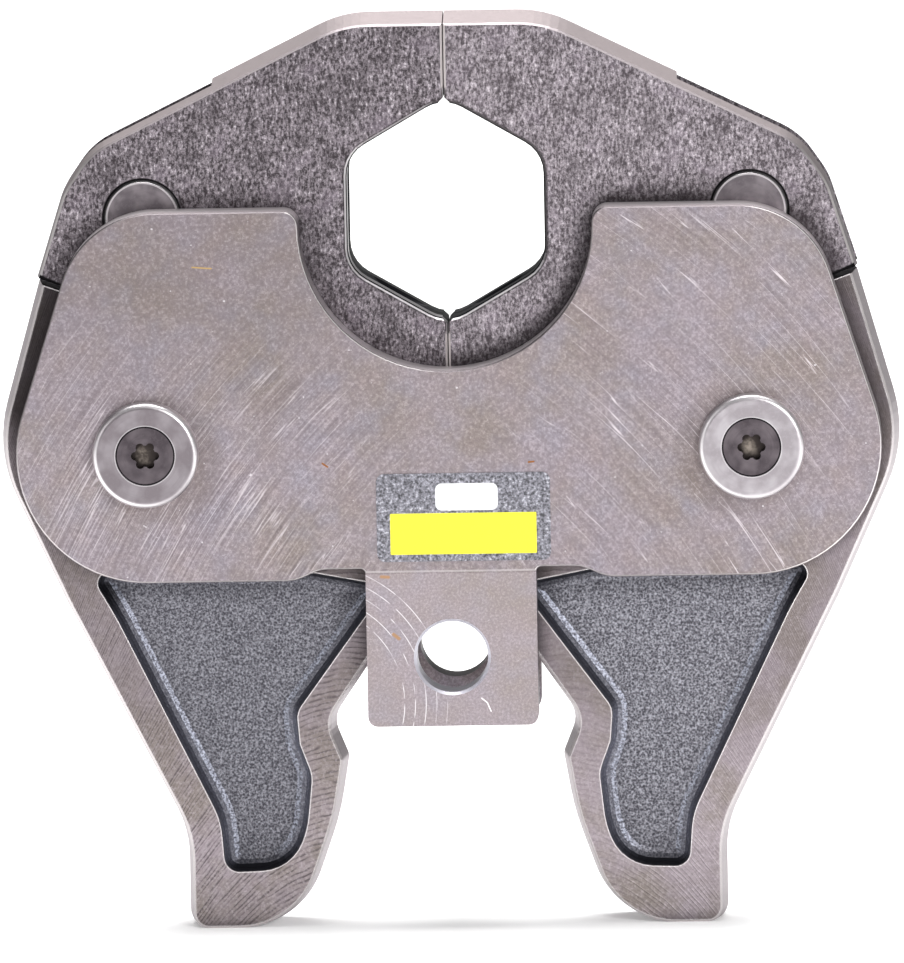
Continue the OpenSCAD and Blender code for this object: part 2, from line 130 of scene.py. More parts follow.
centre = Vector((0, 0, pivot.z))
lamp("lamp_above", (0, 0.6, 3.0), (0, 0.4, 0), size=2.5, watts=175)
lamp("lamp_main", (1.15, -2.35, 1.0), centre, size=0.55, watts=42)
lamp("lamp_left", (-1.9, -1.7, 1.0), centre, size=1.2, watts=11)
world = bpy.data.worlds.new("world")
world.use_nodes = True
sky = world.node_tree.nodes["Background"].inputs
sky["Color"].default_value = (1, 1, 1, 1)
sky["Strength"].default_value = 0.315
bpy.context.scene.world = world
bpy.context.scene.view_settings.view_transform = "Standard"

# %% [markdown]
# ## Tools for the finishes
#
# Each finish is a small network of nodes. One function turns a colour code to linear values, one adds a
# node with its settings and links, and one gives a noise scale from the size of a grain in millimetres. Most
# steps fade a value into a share from 0 to 1 and mix one more colour in by that share.

# %% Colour, node and scale helpers


def colour(code):
    parts = [int(code[i:i + 2], 16) / 255 for i in (1, 3, 5)]
    return [c / 12.92 if c <= 0.04045 else ((c + 0.055) / 1.055) ** 2.4 for c in parts] + [1]


def add(tree, kind, inputs=None, **settings):
    made = tree.nodes.new("ShaderNode" + kind)
    for key, value in settings.items():
        setattr(made, key, value)
    for key, value in (inputs or {}).items():
        if isinstance(value, bpy.types.NodeSocket):
            tree.links.new(value, made.inputs[key])
        else:
            made.inputs[key].default_value = value
    return made


def per_mm(size_mm):
    return 1 / (size_mm * MM)


def calc(tree, operation, *values):
    return add(tree, "Math", dict(enumerate(values)), operation=operation).outputs[0]


def vector(tree, operation, *values, output=0):
    return add(tree, "VectorMath", dict(enumerate(values)), operation=operation).outputs[output]


def fade(tree, value, low, high, at_low=0.0, at_high=1.0):
    """A share that goes from at_low to at_high while the value goes from low to high."""
    return add(tree, "MapRange", {0: value, 1: low, 2: high, 3: at_low, 4: at_high}, clamp=True).outputs[0]


def both(tree, *masks):
    """The share of the places where all the masks hold."""
    share = masks[0]
    for mask in masks[1:]:
        share = calc(tree, "MULTIPLY", share, mask)
    return share


def inverse(tree, share):
    return calc(tree, "SUBTRACT", 1.0, share)


def mixed(tree, share, first, second):
    return add(tree, "Mix", {0: share, 6: first, 7: second}, data_type="RGBA").outputs[2]


def distance(tree, value, middle):
    return calc(tree, "ABSOLUTE", calc(tree, "SUBTRACT", value, middle))


def crossing(tree, value, middle, width):
    """Thin wandering lines: the places where a noise comes close to a value."""
    away = calc(tree, "DIVIDE", distance(tree, value, middle), width)
    return fade(tree, away, 1.0, 0.35)


def noise(tree, place, size_mm, detail=2.0, roughness=0.5):
    return add(tree, "TexNoise", {
        "Vector": place, "Scale": per_mm(size_mm), "Detail": detail, "Roughness": roughness,
    }).outputs[0]


def started(name, **values):
    """A material with one shader; values are constants for the shader's own sockets."""
    material = bpy.data.materials.new(name)
    material.use_nodes = True
    tree = material.node_tree
    tree.nodes.clear()
    inputs = {socket.replace("_", " "): value for socket, value in values.items()}
    shader = add(tree, "BsdfPrincipled", inputs)
    add(tree, "OutputMaterial", {0: shader.outputs[0]})
    return material, tree, shader


def dressed(tree, shader, base, roughness, height, strength, depth_mm):
    """Link the colour and roughness, and give the surface a fine relief."""
    tree.links.new(base, shader.inputs["Base Color"])
    tree.links.new(roughness, shader.inputs["Roughness"])
    bump = add(tree, "Bump", {"Height": height, "Strength": strength, "Distance": depth_mm * MM})
    tree.links.new(bump.outputs[0], shader.inputs["Normal"])


print("a grain of 1 mm has the noise scale", per_mm(1))

# %% [markdown]
# ## Reading the surface
#
# The solids have no texture coordinates, so a finish asks where a point is on the object and which way it
# faces. The ground faces look straight forwards or back, the narrow bevels lean, and the sides turn away
# from Y, so the share of the normal along Y tells them apart.

# %% Places on the surface
BOW_MIDDLE_MM = 20.8  # the cutter's bows on the levers turn over at this distance from the middle
BOW_PER_MM = 0.0225
SIDE_SEED = 3.7  # moves the noise, so that both levers don't carry the same strokes
SOFT_MM = 0.05  # half the width of a painted ring's soft edge


class Surface:
    """Where a point of the surface is, and which way it faces."""

    def __init__(self, tree):
        place = add(tree, "TexCoord")
        self.tree = tree
        self.spots = place.outputs["Object"]
        self.flat = vector(tree, "MULTIPLY", self.spots, (1, 0, 1))
        axes = add(tree, "SeparateXYZ", {0: self.spots})
        self.x, self.y, self.z = axes.outputs[0], axes.outputs[1], axes.outputs[2]
        self.depth = calc(tree, "ABSOLUTE", self.y)
        normal = add(tree, "SeparateXYZ", {0: place.outputs["Normal"]})
        self.face = calc(tree, "ABSOLUTE", normal.outputs[1])
        self.right = normal.outputs[0]
        self.up = normal.outputs[2]

    def bevel(self):
        """Share of the narrow leaning faces between a flat face and a side."""
        return both(self.tree, fade(self.tree, self.face, 0.95, 0.88), fade(self.tree, self.face, 0.25, 0.4))

    def side(self):
        """Share of the faces that look away from the flat ones."""
        return fade(self.tree, self.face, 0.4, 0.25)

    def edge(self, width_mm):
        """Share of a line along a sharp edge, where a rounded normal leaves the true one."""
        tree = self.tree
        rounded = add(tree, "Bevel", {"Radius": width_mm * MM}, samples=6).outputs[0]
        true = add(tree, "NewGeometry").outputs["True Normal"]
        return fade(tree, vector(tree, "DOT_PRODUCT", rounded, true, output="Value"), 0.985, 0.9)

    def shelter(self, reach_mm):
        """0 in the open, up to 1 close to a wall or under a plate."""
        tree = self.tree
        open_share = add(tree, "AmbientOcclusion", {"Distance": reach_mm * MM}, samples=8).outputs["AO"]
        return inverse(tree, open_share)

    def reach(self, middle):
        """How far a point is from an axis along Y."""
        return vector(self.tree, "DISTANCE", self.flat, tuple(middle), output="Value")

    def ring(self, middle, inner_mm, outer_mm):
        away = calc(self.tree, "MULTIPLY", self.reach(middle), per_mm(1))
        past_inner = fade(self.tree, away, inner_mm - SOFT_MM, inner_mm + SOFT_MM)
        return both(self.tree, past_inner, fade(self.tree, away, outer_mm + SOFT_MM, outer_mm - SOFT_MM))

    def ripple(self, side, pitch_mm, stroke_mm):
        """Rows of short strokes on bows that a cutter leaves when it moves down along the part."""
        tree = self.tree
        out = calc(tree, "SUBTRACT", calc(tree, "MULTIPLY", self.x, side * per_mm(1)), BOW_MIDDLE_MM)
        bow = calc(tree, "MULTIPLY", calc(tree, "MULTIPLY", out, out), BOW_PER_MM)
        height_mm = calc(tree, "ADD", calc(tree, "MULTIPLY", self.z, per_mm(1)), bow)
        row = calc(tree, "DIVIDE", height_mm, pitch_mm)
        along = calc(tree, "MULTIPLY", self.x, per_mm(stroke_mm))
        place = add(tree, "CombineXYZ", {0: row, 1: along, 2: side * SIDE_SEED}).outputs[0]
        broken = add(tree, "TexNoise", {"Vector": place, "Scale": 0.8, "Detail": 1.0}).outputs[0]
        shaken = calc(tree, "ADD", row, calc(tree, "MULTIPLY", broken, 1.2))
        wave = calc(tree, "SINE", calc(tree, "MULTIPLY", shaken, 2 * math.pi))
        return both(tree, fade(tree, wave, 0.0, 0.9), fade(tree, broken, 0.38, 0.58, 0.25, 1))

    def arcs(self, middle, spacing_mm, length_deg, seed, detail=2.0):
        """Marks on circles round a middle: noise that is fine across the arcs and long along them."""
        tree = self.tree
        around = add(tree, "SeparateXYZ", {0: vector(tree, "SUBTRACT", self.flat, tuple(middle))})
        angle = calc(tree, "ARCTAN2", around.outputs[2], around.outputs[0])
        across = calc(tree, "MULTIPLY", self.reach(middle), per_mm(spacing_mm))
        along = calc(tree, "MULTIPLY", angle, 180 / math.pi / length_deg)
        place = add(tree, "CombineXYZ", {0: across, 1: along, 2: seed}).outputs[0]
        return add(tree, "TexNoise", {"Vector": place, "Scale": 1.0, "Detail": detail}).outputs[0]

    def stroke(self, start, end, width_mm):
        """A straight mark; start and end are (x, z) in millimetres from midway between the main pivots."""
        tree = self.tree
        first = Vector((start[0] * MM, 0, pivot.z + start[1] * MM))
        run = Vector((end[0] * MM, 0, pivot.z + end[1] * MM)) - first
        offset = vector(tree, "SUBTRACT", self.flat, tuple(first))
        along = vector(tree, "DOT_PRODUCT", offset, tuple(run / run.length_squared), output="Value")
        along = add(tree, "Clamp", {0: along}).outputs[0]
        nearest = add(tree, "VectorMath", {0: tuple(run), "Scale": along}, operation="SCALE").outputs[0]
        away = vector(tree, "DISTANCE", offset, nearest, output="Value")
        return fade(tree, away, width_mm * MM / 2, width_mm * MM / 4)


# %% [markdown]
# ## Ground tool steel of the support plates
#
# The plates are ground flat on a rotary table, which leaves fine shallow arcs across both halves. The steel
# is warm grey and only half shiny, with brownish stains, tiny nicks and a thin bright edge line, partly wear
# and partly a painted highlight. A brown stain with painted shade lies round each collar, and the bevels,
# sides and bore carry painted light and shade. The tongue is milled a little lower and brighter, and the
# cutter left a few arcs on its left side.

# %% Plate steel: where the wheels and the cutter turned, and single marks
LEFT_WHEEL = (78 * MM, 0, pivot.z - 94 * MM)
RIGHT_WHEEL = (-68 * MM, 0, pivot.z - 99 * MM)
CUTTER = (-29 * MM, 0, pivot.z - 49.6 * MM)
CUTTER_BOWS_MM = (18.9, 29.3)  # radii of the smallest and the largest bow
CUTTER_PITCH_MM = 2.1
# A brown stain with painted shade round each collar: where it starts, and where it is full.
COLLAR_STAIN_AND_SHADE_MM = (14.0, 11.2)  # where the brown shade round a collar starts, and where it is full
STROKES = [  # start, end, width in millimetres, and colour: brown specks and one bright hook
    ((-49.4, 36.6), (-45.7, 36.3), 0.38, "#A98F62"),
    ((-24.7, -2.3), (-23.7, -3.0), 0.45, "#8A5A34"),
    ((15.6, -2.6), (16.6, -2.5), 0.45, "#8A5A34"),
    ((-13.6, -24.8), (-12.2, -24.9), 0.8, "#9A7348"),
    ((-11.4, -36.2), (-10.4, -37.0), 0.9, "#9A7348"),
    ((5.6, -49.0), (6.7, -49.9), 0.3, "#F0ECEE"),
    ((6.7, -49.9), (7.4, -51.6), 0.3, "#F0ECEE"),
]
print("single marks on the front plate:", len(STROKES))

# %% Plate steel: grinding and milling


def plate_scratches(tree, at, base, ground):
    """Fine grinding strands, darker and lighter, and single bright scratches on the same bows."""
    over = fade(tree, at.x, -3 * MM, 3 * MM)
    strands = add(tree, "Mix", {
        0: over, 2: at.arcs(LEFT_WHEEL, 0.36, 10, 3.1, 1), 3: at.arcs(RIGHT_WHEEL, 0.5, 14, 8.4, 1),
    }).outputs[0]
    single = add(tree, "Mix", {
        0: over, 2: at.arcs(LEFT_WHEEL, 1.3, 14, 1.7, 1), 3: at.arcs(RIGHT_WHEEL, 1.5, 22, 6.2, 1),
    }).outputs[0]
    worn = noise(tree, at.spots, 13, 1)
    low = calc(tree, "MAXIMUM", fade(tree, at.z, pivot.z + 30 * MM, pivot.z + 6 * MM), over)
    outer = fade(tree, distance(tree, at.x, 0.0), 8 * MM, 30 * MM, 0.15, 1)
    where = both(tree, low, outer, ground, fade(tree, worn, 0.38, 0.6, 0.35, 1))
    fine = both(tree, where, fade(tree, over, 0.0, 1.0, 1, 0.45))
    base = mixed(tree, both(tree, fine, fade(tree, strands, 0.53, 0.7, 0, 0.28)), base, colour("#BFB6BA"))
    base = mixed(tree, both(tree, fine, fade(tree, strands, 0.47, 0.34, 0, 0.5)), base, colour("#635A5E"))
    thin = fade(tree, over, 0.0, 1.0, 0.02, 0.009)
    lines = both(tree, where, crossing(tree, single, 0.52, thin), fade(tree, strands, 0.4, 0.6, 0.1, 0.7))
    lines = both(tree, lines, fade(tree, over, 0.0, 1.0, 0.6, 1))
    return mixed(tree, lines, base, colour("#D9D1D5")), strands


def tongue_milling(tree, at, base, milled):
    """The tongue's faces are milled a step lower, and the cutter left a few bows on the left side."""
    base = mixed(tree, both(tree, milled, fade(tree, at.face, 0.95, 0.99, 0, 0.15)), base, colour("#C4BABD"))
    bows = calc(tree, "FRACT", calc(tree, "MULTIPLY", at.reach(CUTTER), per_mm(CUTTER_PITCH_MM)))
    left = fade(tree, at.x, 0.2 * MM, -3 * MM)
    pause = fade(tree, distance(tree, at.z, pivot.z - 44 * MM), 1.5 * MM, 3 * MM)
    broken = fade(tree, noise(tree, at.spots, 2.5, 1), 0.36, 0.55)
    cut = both(tree, crossing(tree, bows, 0.3, 0.05), at.ring(CUTTER, *CUTTER_BOWS_MM), left, pause, broken)
    return mixed(tree, both(tree, milled, cut, 0.8), base, colour("#E6E2E5"))


def plate_edges(tree, at, base):
    """Bevels with painted shade where they face up and a thin line, partly wear and partly a painted
    highlight; sides with painted light on top; and the bore, a painted highlight in front and painted shade
    behind.
    """
    worn = both(tree, at.bevel(), fade(tree, at.depth, plate_face - 0.2 * MM, plate_face - 0.14 * MM))
    # Painted shade on the bevels that face up.
    base = mixed(tree, both(tree, at.bevel(), fade(tree, at.up, -0.2, 0.5)), base, colour("#5A5456"))
    # The thin line is partly wear and partly a painted highlight: bright below, darker on top, brightest
    # facing right.
    line = mixed(tree, fade(tree, at.up, -0.3, 0.6), colour("#BEB9B9"), colour("#6E686A"))
    line = mixed(tree, fade(tree, at.right, 0.05, 0.4), line, colour("#DDD9D8"))
    base = mixed(tree, worn, base, line)
    # Painted light on the sides: lighter where they face up.
    sides = mixed(tree, fade(tree, at.up, 0.1, 0.7), colour("#6E686A"), colour("#C2BBBD"))
    base = mixed(tree, at.side(), base, sides)
    # Painted light in the bore: a highlight on its front part and shade on its rear part.
    hole = both(tree, fade(tree, at.reach(lock), 8.8 * MM, 8.6 * MM), fade(tree, at.face, 0.95, 0.88))
    bore = mixed(tree, fade(tree, at.y, -1 * MM, 1 * MM), colour("#D6D4DC"), colour("#3A3536"))
    return mixed(tree, hole, base, bore)


# %% Plate steel: the whole finish


def plate_steel():
    material, tree, shader = started("ground_tool_steel", Metallic=1)
    at = Surface(tree)
    stains = noise(tree, at.spots, 20, 4, 0.6)
    cool = noise(tree, at.spots, 8, 2, 0.5)
    grain = noise(tree, at.spots, 0.5, 3, 0.75)
    base = mixed(tree, fade(tree, stains, 0.42, 0.66, 0, 0.8), colour("#92898F"), colour("#857B73"))
    base = mixed(tree, fade(tree, cool, 0.5, 0.72, 0, 0.6), base, colour("#8B8893"))
    base = mixed(tree, fade(tree, cool, 0.46, 0.3, 0, 0.5), base, colour("#8F8280"))
    rising = fade(tree, at.z, pivot.z - 4 * MM, pivot.z + 30 * MM)
    left_horn = both(tree, fade(tree, at.x, -4 * MM, -30 * MM), rising, 0.3)
    base = mixed(tree, left_horn, base, colour("#615957"))
    # A brown stain with painted shade round each collar, a little towards the middle of the jaw and down.
    outer_mm, inner_mm = COLLAR_STAIN_AND_SHADE_MM
    for side in (LEFT, RIGHT):
        away = at.reach((side * (pivot.x - 2.2 * MM), 0, pivot.z - 1.2 * MM))
        base = mixed(tree, fade(tree, away, outer_mm * MM, inner_mm * MM, 0, 0.45), base, colour("#675D57"))
    base = mixed(tree, fade(tree, grain, 0.34, 0.6, 0.6, 0), base, colour("#665D61"))
    base = mixed(tree, fade(tree, grain, 0.52, 0.8, 0, 0.5), base, colour("#BDB3B9"))
    milled = both(tree, fade(tree, at.z, tongue_step_z + 0.3 * MM, tongue_step_z - 0.3 * MM),
                  fade(tree, at.depth, plate_face - 0.1 * MM, plate_face - 0.2 * MM),
                  fade(tree, at.depth, plate_face - 0.6 * MM, plate_face - 0.4 * MM))
    base, strands = plate_scratches(tree, at, base, inverse(tree, milled))
    nicks = noise(tree, at.spots, 1.1, 1)
    base = mixed(tree, fade(tree, nicks, 0.77, 0.82, 0, 0.6), base, colour("#DDD8DC"))
    for start, end, width_mm, code in STROKES:
        base = mixed(tree, at.stroke(start, end, width_mm), base, colour(code))
    base = plate_edges(tree, at, tongue_milling(tree, at, base, milled))
    height = calc(tree, "ADD", calc(tree, "MULTIPLY", strands, 0.6), calc(tree, "MULTIPLY", grain, 0.4))
    dressed(tree, shader, base, fade(tree, grain, 0.3, 0.7, 0.42, 0.54), height, strength=0.2, depth_mm=0.04)
    return material


# %% [markdown]
# ## Forged steel of the levers
#
# The levers are forged, and only their rims are ground. The cutter left a fine ripple in short strokes,
# strong on the left lever and faint on the right one. The rims carry painted shade beside the plates and a
# painted shadow of the plate on their upper part, and a bright edge line, partly wear and partly a painted
# highlight. The pockets keep the dark skin of the forging, which was shot-blasted: a fine light network on a
# dark ground, with painted shade on the walls that face up, under the plate and over the pockets, most on the
# left, and a painted bluish highlight of specks where wall and floor meet. The network is drawn a little
# coarser than it is, so that it shows.

# %% Lever steel: rim and pocket
# Painted shade: the black of the gaps between a lever and its segment.
GAP_SHADE = "#121112"
RIPPLE_PITCH_MM = 1.05
RIPPLE_STROKE_MM = 3.2
NETWORK_MM = 0.62


def lever_rim(tree, at, side, strokes, rim_shadow):
    """The ground rim: brownish and mauve patches, short dark cutter strokes, painted shadow and shade near
    the plates, and a bright edge, partly wear and partly a painted highlight.
    """
    grain = noise(tree, at.spots, 0.55, 3, 0.75)
    stains = noise(tree, at.spots, 12, 3, 0.6)
    ripple = at.ripple(side, RIPPLE_PITCH_MM, RIPPLE_STROKE_MM)
    rim = mixed(tree, fade(tree, stains, 0.4, 0.62), colour("#958B90"), colour("#857C78"))
    rim = mixed(tree, calc(tree, "MULTIPLY", ripple, strokes), rim, colour("#4C4548"))
    rim = mixed(tree, fade(tree, grain, 0.48, 0.75, 0, 0.6), rim, colour("#BDB4B8"))
    rim = mixed(tree, fade(tree, grain, 0.45, 0.28, 0, 0.4), rim, colour("#5B5358"))
    rim = mixed(tree, fade(tree, at.z, 18 * MM, 50 * MM, 0, 0.42), rim, colour("#544C50"))
    # Painted shadow of the plate on the upper rim, by the given share, and painted shade where the plates
    # close over the rim.
    rim = mixed(tree, fade(tree, at.z, pivot.z - 1 * MM, pivot.z + 8 * MM, 0, rim_shadow), rim, colour("#1E1B1C"))
    rim = mixed(tree, fade(tree, at.shelter(5), 0.2, 0.5, 0, 0.7), rim, colour("#2A2627"))
    # The bright line along the sharp edges and the bright bevels are partly wear and partly a painted
    # highlight.
    rim = mixed(tree, both(tree, at.edge(0.5), fade(tree, at.face, 0.8, 0.95)), rim, colour("#E8E4E4"))
    rim = mixed(tree, at.bevel(), rim, colour("#C2BCBD"))
    # Painted shade in the gap to the segment: the upward bevel at the shoulder is painted black.
    high = fade(tree, at.z, shoulder_z - 1 * MM, shoulder_z + 1 * MM)
    shoulder = both(tree, at.bevel(), fade(tree, at.up, 0.3, 0.5), high)
    return mixed(tree, shoulder, rim, colour(GAP_SHADE)), ripple, grain


def pocket_skin(tree, at, pocket_shade):
    """The forging's dark skin: a fine light network, painted shade on upward walls, under the plate and over
    the pocket, and a painted highlight of bluish specks at the walls' foot.
    """
    cells = add(tree, "TexVoronoi", {
        "Vector": at.spots, "Scale": per_mm(NETWORK_MM), "Randomness": 1.0,
    }, feature="DISTANCE_TO_EDGE").outputs["Distance"]
    speck = noise(tree, at.spots, 0.5, 2, 0.7)
    skin = mixed(tree, fade(tree, cells, 0.02, 0.2), colour("#7F7E85"), colour("#55545B"))
    skin = mixed(tree, fade(tree, speck, 0.5, 0.68, 0, 0.85), skin, colour("#A9A9B1"))
    skin = mixed(tree, fade(tree, speck, 0.47, 0.34, 0, 0.85), skin, colour("#38373D"))
    # Painted shade over the whole pocket by the given share, and near walls and under the plate.
    skin = mixed(tree, pocket_shade, skin, colour("#2E2D33"))
    skin = mixed(tree, fade(tree, at.shelter(7), 0.12, 0.6, 0, 0.8), skin, colour("#2B2B31"))
    # The walls: painted shade where they face up and on the upper walls under the plate.
    wall = mixed(tree, fade(tree, speck, 0.42, 0.7), colour("#83838F"), colour("#ABADBA"))
    wall = mixed(tree, fade(tree, at.up, 0.0, 0.8), wall, colour("#3C3C42"))
    under = fade(tree, at.z, pivot.z - 37 * MM, pivot.z - 27 * MM, 0, 0.8)
    wall = mixed(tree, under, wall, colour("#1A1A1E"))
    skin = mixed(tree, fade(tree, at.face, 0.6, 0.97), wall, skin)
    # A painted bluish highlight where wall and floor meet, on the walls that face sideways.
    foot = both(tree, fade(tree, at.face, 0.86, 0.94), fade(tree, at.face, 0.998, 0.975))
    foot = both(tree, foot, fade(tree, distance(tree, at.right, 0.0), 0.06, 0.16))
    foot = both(tree, foot, fade(tree, speck, 0.4, 0.64, 0.05, 0.55))
    return mixed(tree, foot, skin, colour("#B8BED0")), speck


# %% Lever steel: the whole finish


def lever_steel(name, side, strokes, rim_shadow, pocket_shade):
    """One lever, with shares of cutter strokes, painted shadow on the upper rim and painted pocket shade."""
    material, tree, shader = started(name, Metallic=1)
    at = Surface(tree)
    rim, ripple, grain = lever_rim(tree, at, side, strokes, rim_shadow)
    skin, speck = pocket_skin(tree, at, pocket_shade)
    ground = fade(tree, at.depth, jaw_face - 0.6 * MM, jaw_face - 0.45 * MM)
    contour = fade(tree, at.face, 0.158, 0.145)
    forged = mixed(tree, fade(tree, grain, 0.35, 0.7), colour("#857D80"), colour("#A39B9E"))
    skin = mixed(tree, contour, skin, forged)
    # Painted shade in the gap to the segment: the upward sides near the shoulder are painted black.
    high = fade(tree, at.z, shoulder_z - 5 * MM, shoulder_z - 2 * MM)
    skin = mixed(tree, both(tree, at.side(), fade(tree, at.up, 0.3, 0.5), high), skin, colour(GAP_SHADE))
    base = mixed(tree, ground, skin, rim)
    height = add(tree, "Mix", {0: ground, 2: speck, 3: ripple}).outputs[0]
    dressed(tree, shader, base, fade(tree, grain, 0.3, 0.7, 0.42, 0.54), height, strength=0.3, depth_mm=0.1)
    return material


# %% [markdown]
# ## Oiled forged steel of the press segments
#
# The segments carry the press force, and years of oil and scale have left them darker than the plates, with
# a fine speckle and short upright streaks. Painted shade lies beside the plates, and the sides get painted
# light on top. Inside the mouth the walls are dull, lighter where they face up or right as painted light, and
# the left one is black in front of the bead groove, as painted shade. The gap to the lever below gets painted
# shade on both sides of it, and so does the gap round the pin.

# %% Segment steel: the mouth
GROOVE_HALF = 3.4 * MM


def mouth_walls(tree, at, side, base):
    """The mouth's chamfer ends in a thin line, a painted highlight where it faces up or right.
    Its walls get painted light there too, and black painted shade in front of the groove on the left.
    Gives the colour and the share of the dull walls.
    """
    inside = fade(tree, at.reach(mouth), MOUTH_REACH + 0.1 * MM, MOUTH_REACH - 0.1 * MM)
    lit = calc(tree, "MAXIMUM", fade(tree, at.up, 0.15, 0.4), fade(tree, at.right, 0.2, 0.5))
    # Painted shade: the left mouth's wall in front of the bead groove is black.
    before_groove = fade(tree, at.y, -GROOVE_HALF, -GROOVE_HALF - 0.2 * MM)
    left_front_shade = both(tree, before_groove, 1.0 if side == LEFT else 0.0)
    flats = mixed(tree, lit, colour("#7A7577"), colour("#A5A2A4"))
    walls = mixed(tree, left_front_shade, colour("#0A0A0C"), flats)
    wall = both(tree, inside, fade(tree, at.face, 0.68, 0.6))
    base = mixed(tree, wall, base, walls)
    # The chamfer's line: a painted highlight where it faces up or right.
    line = mixed(tree, lit, colour("#5E5A5C"), colour("#ECE8EA"))
    shallow = fade(tree, at.depth, jaw_face - 0.6 * MM, jaw_face - 0.54 * MM)
    line = mixed(tree, shallow, colour("#1C1C1F"), line)
    lip = both(tree, inside, at.bevel(), fade(tree, at.depth, jaw_face - 0.22 * MM, jaw_face - 0.28 * MM))
    return mixed(tree, lip, base, line), both(tree, wall, inverse(tree, left_front_shade))


# %% Segment steel: edges and the gap below
# A line of painted shade along the gap at the heel, in millimetres from midway between the main pivots.
HEEL_LINE = ((74.4, 31.9), (79.8, 34.3))
HEEL_LINE_MM = 1.15


def segment_edges(tree, at, side, base, grain):
    """Sides with painted light, lighter on top; an outer bevel, partly wear and partly painted highlight; and
    painted shade round the pin and along the heel.
    """
    # Painted light on the sides: lighter where they face up, and a little darker again on flat tops.
    sides = mixed(tree, fade(tree, grain, 0.4, 0.6), colour("#6F686A"), colour("#8E8789"))
    sides = mixed(tree, fade(tree, at.up, 0.3, 0.8, 0, 0.8), sides, colour("#B9AEAF"))
    sides = mixed(tree, fade(tree, at.up, 0.92, 1.0, 0, 0.6), sides, colour("#8A7F7F"))
    base = mixed(tree, at.side(), base, sides)
    # The outer bevel is bright, partly wear and partly a painted highlight, and darker where it faces up.
    rim = both(tree, at.bevel(), fade(tree, at.reach(mouth), MOUTH_REACH - 0.5 * MM, MOUTH_REACH + 0.3 * MM))
    worn = mixed(tree, fade(tree, at.up, 0.3, 0.6), colour("#C9C4C4"), colour("#8F888A"))
    base = mixed(tree, rim, base, worn)
    base, dull = mouth_walls(tree, at, side, base)
    # Painted shade in the gap round the pin, on the bevel of its bore.
    away = at.reach((side * segment_pin.x, 0, segment_pin.z))
    round_pin = both(tree, fade(tree, away, 8.5 * MM, 8.3 * MM), at.bevel())
    base = mixed(tree, round_pin, base, colour("#2B292B"))
    # Painted shade in the gap to the lever: the downward bevel low at the heel and a line along it are black.
    low = fade(tree, at.z, heel_z + 1 * MM, heel_z - 1 * MM)
    base = mixed(tree, both(tree, at.bevel(), fade(tree, at.up, -0.3, -0.5), low), base, colour(GAP_SHADE))
    start, end = [(side * x, z) for x, z in HEEL_LINE]
    gap = at.stroke(start, end, HEEL_LINE_MM)
    return mixed(tree, both(tree, gap, fade(tree, at.face, 0.3, 0.5)), base, colour(GAP_SHADE)), dull


# %% Segment steel: the whole finish


def segment_steel(name, side, dark, light, plate_shade):
    """One segment; its last share gives the painted shade beside the plates."""
    material, tree, shader = started(name)
    at = Surface(tree)
    speck = noise(tree, at.spots, 0.52, 4, 0.8)
    tall = vector(tree, "MULTIPLY", at.spots, (1, 1, 0.45))
    streak = noise(tree, tall, 0.48, 2, 0.65)
    cloud = noise(tree, at.spots, 7, 3, 0.6)
    grain = calc(tree, "ADD", calc(tree, "MULTIPLY", speck, 0.55), calc(tree, "MULTIPLY", streak, 0.45))
    base = mixed(tree, fade(tree, grain, 0.43, 0.58), colour(dark), colour(light))
    base = mixed(tree, fade(tree, cloud, 0.44, 0.66, 0, 0.45), base, colour(dark))
    base = mixed(tree, fade(tree, cloud, 0.45, 0.3, 0, 0.4), base, colour("#7C727C"))
    base = mixed(tree, fade(tree, grain, 0.58, 0.66, 0, 0.75), base, colour("#CFC8CD"))
    # Painted shade beside the plates, by the given share, where the plates keep the light off the segment.
    outside = fade(tree, at.depth, jaw_face - 0.6 * MM, jaw_face - 0.4 * MM)
    shaded = both(tree, outside, fade(tree, at.shelter(6), 0.08, 0.42, 0, plate_shade))
    base = mixed(tree, shaded, base, colour("#1F1B1C"))
    base, dull = segment_edges(tree, at, side, base, grain)
    tree.links.new(inverse(tree, dull), shader.inputs["Metallic"])
    roughness = calc(tree, "MAXIMUM", fade(tree, speck, 0.3, 0.7, 0.38, 0.52), dull)
    dressed(tree, shader, base, roughness, grain, strength=0.4, depth_mm=0.08)
    return material


# %% [markdown]
# ## Pins, collars, screws and spring
#
# The pins are ground, the collars are turned and satin, and the screws are burnished nearly black. Turned
# parts show faint rings round their own axis. Their edges and chamfers carry painted highlights, and the gaps
# round screw heads and pins carry painted shade.

# %% Turned steels
HEAD_R_MM = 5.8
SOCKET_R_MM = 2.75
# Rings on the pins: a painted highlight on the chamfer, and painted shade in the gap to the bore.
PIN_RIM_HIGHLIGHT_MM = (6.75, 7.1)
PIN_GAP_SHADE_MM = (7.15, 7.6)


def socket_floor(tree, at, middle, base):
    """The socket's floor is nearly black, with a dull glint that is stronger on its left side."""
    sunk = both(tree, at.ring(middle, 0, SOCKET_R_MM + 0.1),
                fade(tree, at.depth, screw_face - 0.2 * MM, screw_face - 0.4 * MM))
    left = fade(tree, at.x, middle[0] + 1.4 * MM, middle[0] - 1 * MM, 0.2, 1)
    spotted = fade(tree, noise(tree, at.spots, 1.3, 2), 0.4, 0.6, 0.2, 1)
    glint = both(tree, fade(tree, at.reach(middle), 2.2 * MM, 0.6 * MM), left, spotted)
    return mixed(tree, sunk, base, mixed(tree, glint, colour("#2F2A29"), colour("#8F857C")))


